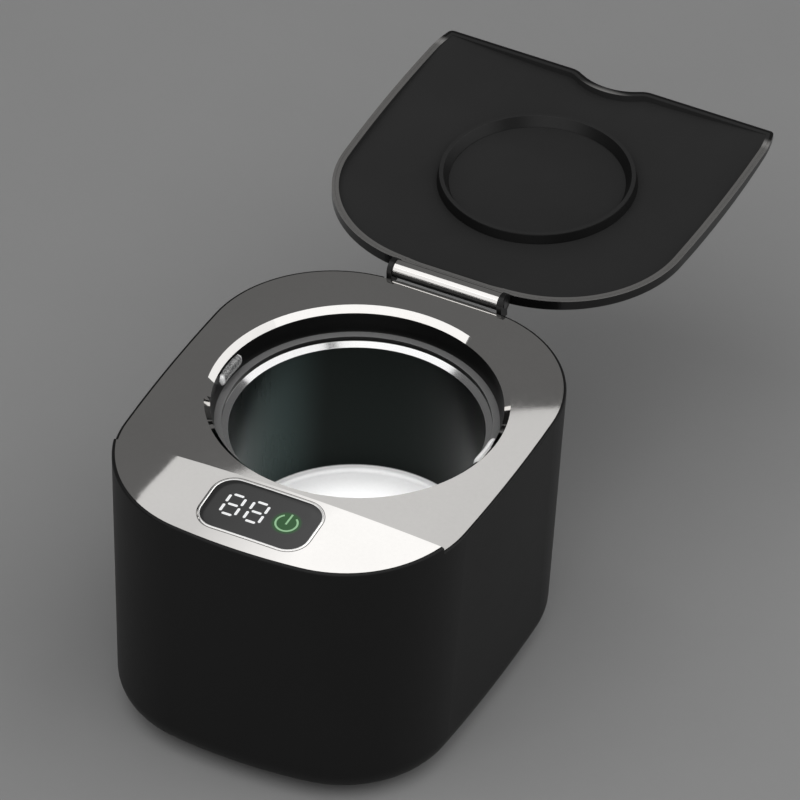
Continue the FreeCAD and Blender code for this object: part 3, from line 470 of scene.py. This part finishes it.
def lathe(name, section, material, steps=128):
    """Closed ring about the tank's axis whose section is a list of (radius, z) points."""
    shape = bmesh.new()
    rings = []
    for i in range(steps):
        angle = 2 * math.pi * i / steps
        rings.append([shape.verts.new(Vector((r * math.cos(angle), r * math.sin(angle), z)) * MM)
                      for r, z in section])
    for a, b in zip(rings, rings[1:] + rings[:1]):
        for k in range(len(section)):
            j = (k + 1) % len(section)
            shape.faces.new((a[k], a[j], b[j], b[k]))
    return new_piece(name, shape, material)


def flange_section(inner, outer, low, top, edge=0.1):
    """Flat ring that broadens the tank under its gasket, with a broken outer edge."""
    return ((inner, low), (outer - edge, low), (outer, low + edge), (outer, top - edge),
            (outer - edge, top), (inner, top))


def rounded_outline(grow, steps=10):
    """The window's outline moved outwards, as points in order: round corners and divided straights."""
    corner = WINDOW_CORNER + grow
    corners = []
    for k, (sx, sy) in enumerate(((1, 1), (-1, 1), (-1, -1), (1, -1))):
        cx = WINDOW[0] + sx * (WINDOW_HALF[0] - WINDOW_CORNER)
        cy = WINDOW[1] + sy * (WINDOW_HALF[1] - WINDOW_CORNER)
        angles = [math.radians(90 * (k + step / steps)) for step in range(steps + 1)]
        corners.append([(cx + corner * math.cos(a), cy + corner * math.sin(a)) for a in angles])
    points = []
    for here, after in zip(corners, corners[1:] + corners[:1]):
        a, b = here[-1], after[0]
        points += here
        points += [(a[0] + (b[0] - a[0]) * t / steps, a[1] + (b[1] - a[1]) * t / steps)
                   for t in range(1, steps)]
    return points


def window_pane(name, material):
    """Crowned pane from concentric rings, with a thin wall below its edge."""
    shape = bmesh.new()
    edge = rounded_outline(0.0)
    rings = [[shape.verts.new(on_crown(x, y, PANE_LOW)) for x, y in edge]]
    for share in (1.0, 0.99, 0.8, 0.6, 0.4, 0.2):
        lift = PANE_TOP if share < 1 else PANE_TOP - 0.03
        spots = [(WINDOW[0] + (x - WINDOW[0]) * share, WINDOW[1] + (y - WINDOW[1]) * share) for x, y in edge]
        rings.append([shape.verts.new(on_crown(x, y, lift)) for x, y in spots])
    for a, b in zip(rings, rings[1:]):
        for i in range(len(a)):
            j = (i + 1) % len(a)
            shape.faces.new((a[i], a[j], b[j], b[i]))
    shape.faces.new(rings[-1])
    shape.faces.new(list(reversed(rings[0])))
    for face in shape.faces:
        face.smooth = len(face.verts) == 4
    return new_piece(name, shape, material)


def outline_ring(name, profile, material):
    """A closed ring round the window whose section is a list of (outward, lift) points."""
    shape = bmesh.new()
    rings = [[shape.verts.new(on_crown(x, y, lift)) for x, y in rounded_outline(grow)]
             for grow, lift in profile]
    for a, b in zip(rings, rings[1:] + rings[:1]):
        for i in range(len(a)):
            j = (i + 1) % len(a)
            shape.faces.new((a[i], a[j], b[j], b[i]))
    return new_piece(name, shape, material)


lathe("tank_flange", flange_section(*FLANGE), finishes["tank_steel"])
# Painted light: the right lens is near white all over, lighter than the left lens of the same plastic.
lens_painted_light = surface("lens_painted_light", grey(244), 0.25, grain=0.003, grain_scale=1500, coat=0.2,
                   zones=((speckle, (1.0, 1.0, 1.0), 0.25, 0.0),))
lamp_cover("lamp_cover_left", -1, "lamp_lens_left", finishes["lens_clear"])
lamp_cover("lamp_cover_right", 1, "lamp_lens_right", lens_painted_light)
digit_glow = surface("digit_glow", grey(238), 0.4, emission=(0.95, 0.97, 1.0), strength=0.25, grain=0.001)
key_glow = surface("key_glow", (0.33, 0.56, 0.33), 0.4, emission=(0.4, 0.75, 0.42), strength=0.12,
                   grain=0.001)
loops = []
for x in DIGIT_X:
    loops += digit_loops(x, DIGIT_Y, *DIGIT_SPAN, DIGIT_BAR)
tablets("display_digits", loops, PANE_TOP, 0.02, digit_glow)
kx, ky = KEY
tick = [(kx - 0.26, ky - 0.5), (kx + 0.26, ky - 0.5), (kx + 0.38, ky + 3.4), (kx - 0.14, ky + 3.4)]
sign = [arc_band(kx, ky, KEY_RADIUS, 0.52, 126, 414), tick]
tablets("power_sign", sign, PANE_TOP, 0.02, key_glow)
bezel_silver = surface("bezel_silver", grey(240, (1.0, 0.99, 0.975)), 0.22, metal=0.7, grain=0.001,
                       spread=0.03)
# Painted shadow: a dark ring just outside the bezel stands for the shade in the gap round it.
gap_shadow = surface("gap_shadow", grey(30), 0.6, grain=0.004)
pane = window_pane("window_pane", finishes["window_dark"])
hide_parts("display_window")
bezel = outline_ring("window_bezel", BEZEL_SECTION, bezel_silver)
outline_ring("window_shadow_gap", SHADOW_GAP_SECTION, gap_shadow)


# Stage, lights and camera

def stage_plane(name, size, z, material):
    mesh = bpy.data.meshes.new(name)
    shape = bmesh.new()
    bmesh.ops.create_grid(shape, x_segments=2, y_segments=2, size=size)
    shape.to_mesh(mesh)
    shape.free()
    plane = bpy.data.objects.new(name, mesh)
    plane.location.z = z
    bpy.context.scene.collection.objects.link(plane)
    mesh.materials.append(material)
    return plane


floor_paint = surface("floor_paint", grey(152), 0.6, grain=0.02, grain_scale=400, spread=0.01, specular=0.2)
stage_plane("floor", 6.0, -0.0002, floor_paint)

world = bpy.data.worlds.new("studio")
bpy.context.scene.world = world
world.use_nodes = True
world.node_tree.nodes["Background"].inputs["Color"].default_value = (0.13, 0.13, 0.13, 1)
world.node_tree.nodes["Background"].inputs["Strength"].default_value = 1.0


def lamp(name, place, facing, size_x, size_y, radiance, shape="RECTANGLE", spread=180.0):
    """Soft lamp whose face shows the given radiance, turned towards a direction."""
    data = bpy.data.lights.new(name, "AREA")
    data.shape = shape
    data.size = size_x
    data.size_y = size_y
    area = size_x * size_y * (math.pi / 4 if shape == "DISK" else 1)
    data.energy = radiance * math.pi * area
    data.spread = math.radians(spread)
    obj = bpy.data.objects.new(name, data)
    obj.location = place
    obj.rotation_mode = "QUATERNION"
    obj.rotation_quaternion = Vector(facing).to_track_quat("-Z", "Y")
    obj.visible_camera = False
    bpy.context.scene.collection.objects.link(obj)
    return obj


def wall(name, low, high, facing, radiance):
    """Lamp that fills a flat box given by two corners."""
    low, high = Vector(low), Vector(high)
    place, size = (low + high) / 2, high - low
    if abs(facing[2]) > 0.5:
        spans = (size.x, size.y)
    elif abs(facing[1]) > 0.5:
        spans = (size.x, size.z)
    else:
        spans = (size.y, size.z)
    return lamp(name, place, facing, *spans, radiance)


wall("front_wall", (-1.0, -1.8, 0.2), (1.6, -1.8, 2.2), (0, 1, 0), 0.9)
wall("ceiling", (-2.3, -1.7, 1.8), (1.9, 0.2, 1.8), (0, 0, -1), 1.08)
wall("ceiling_right", (0.2, 0.2, 1.8), (1.9, 1.5, 1.8), (0, 0, -1), 1.0)
wall("right_wall", (1.9, -0.5, 0.0), (1.9, 4.0, 1.8), (-1, 0, 0), 0.95)


def tank_spot(height, reach, power):
    """Narrow lamp that lights the tank's floor through the mouth and nothing beside it."""
    data = bpy.data.lights.new("tank_spot", "SPOT")
    data.energy = power
    data.shadow_soft_size = 0.01
    data.spot_size = 2 * math.atan(reach / height)
    data.spot_blend = 0.25
    obj = bpy.data.objects.new("tank_spot", data)
    obj.location = (0, 0, height)
    obj.visible_camera = False
    obj.visible_glossy = False
    bpy.context.scene.collection.objects.link(obj)


tank_spot(1.0, 0.0345, 54.0)


def reflector(centre, radius, z, pieces):
    """Round card over the deck that only the given pieces mirror, brighter towards the front."""
    material = bpy.data.materials.new("card")
    material.use_nodes = True
    tree = material.node_tree
    tree.nodes.clear()
    out = tree.nodes.new("ShaderNodeOutputMaterial")
    glow = tree.nodes.new("ShaderNodeEmission")
    coords = tree.nodes.new("ShaderNodeTexCoord").outputs["Object"]
    across, along = split(tree, coords)[:2]
    front = ranged(tree, across, 0.6, 1.1, -0.163, -0.098)
    back = ranged(tree, along, 0, 1, 0.19, 0.27, smooth=True)
    link(tree, value_mix(tree, back, front, 0.57), glow.inputs["Strength"])
    clear = tree.nodes.new("ShaderNodeBsdfTransparent")
    both = tree.nodes.new("ShaderNodeAddShader")
    link(tree, glow.outputs[0], both.inputs[0])
    link(tree, clear.outputs[0], both.inputs[1])
    link(tree, both.outputs[0], out.inputs["Surface"])
    mesh = bpy.data.meshes.new("card")
    shape = bmesh.new()
    bmesh.ops.create_circle(shape, cap_ends=True, segments=128, radius=radius,
                            matrix=Matrix.Translation((centre[0], centre[1], z)))
    shape.to_mesh(mesh)
    shape.free()
    card = bpy.data.objects.new("card", mesh)
    mesh.materials.append(material)
    bpy.context.scene.collection.objects.link(card)
    card.visible_camera = False
    card.visible_shadow = False
    card.visible_diffuse = False
    mirrored = bpy.data.collections.new("mirrored")
    for piece in pieces:
        mirrored.objects.link(piece)
    card.light_linking.receiver_collection = mirrored


reflector((-0.007, 0.185), 0.2, DECK * MM + 0.3, [frame["nodes"]["top_trim"], pane, bezel])

right = Vector((0.8932, 0.4495, 0.0136))
up = Vector((-0.2925, 0.5578, 0.7767))
ahead = right.cross(up) * -1
up = right.cross(ahead)
camera = bpy.data.cameras.new("camera")
camera.lens = 656.8
camera.sensor_width = 36.0
camera.clip_start = 0.1
camera.clip_end = 50.0
camera_object = bpy.data.objects.new("camera", camera)
axes = Matrix((right, up, -ahead)).transposed().to_4x4()
axes.translation = Vector((1307.55, -2645.93, 2392.78 + DECK)) * MM
camera_object.matrix_world = axes
bpy.context.scene.collection.objects.link(camera_object)
bpy.context.scene.camera = camera_object
bpy.context.scene.view_settings.view_transform = "Standard"
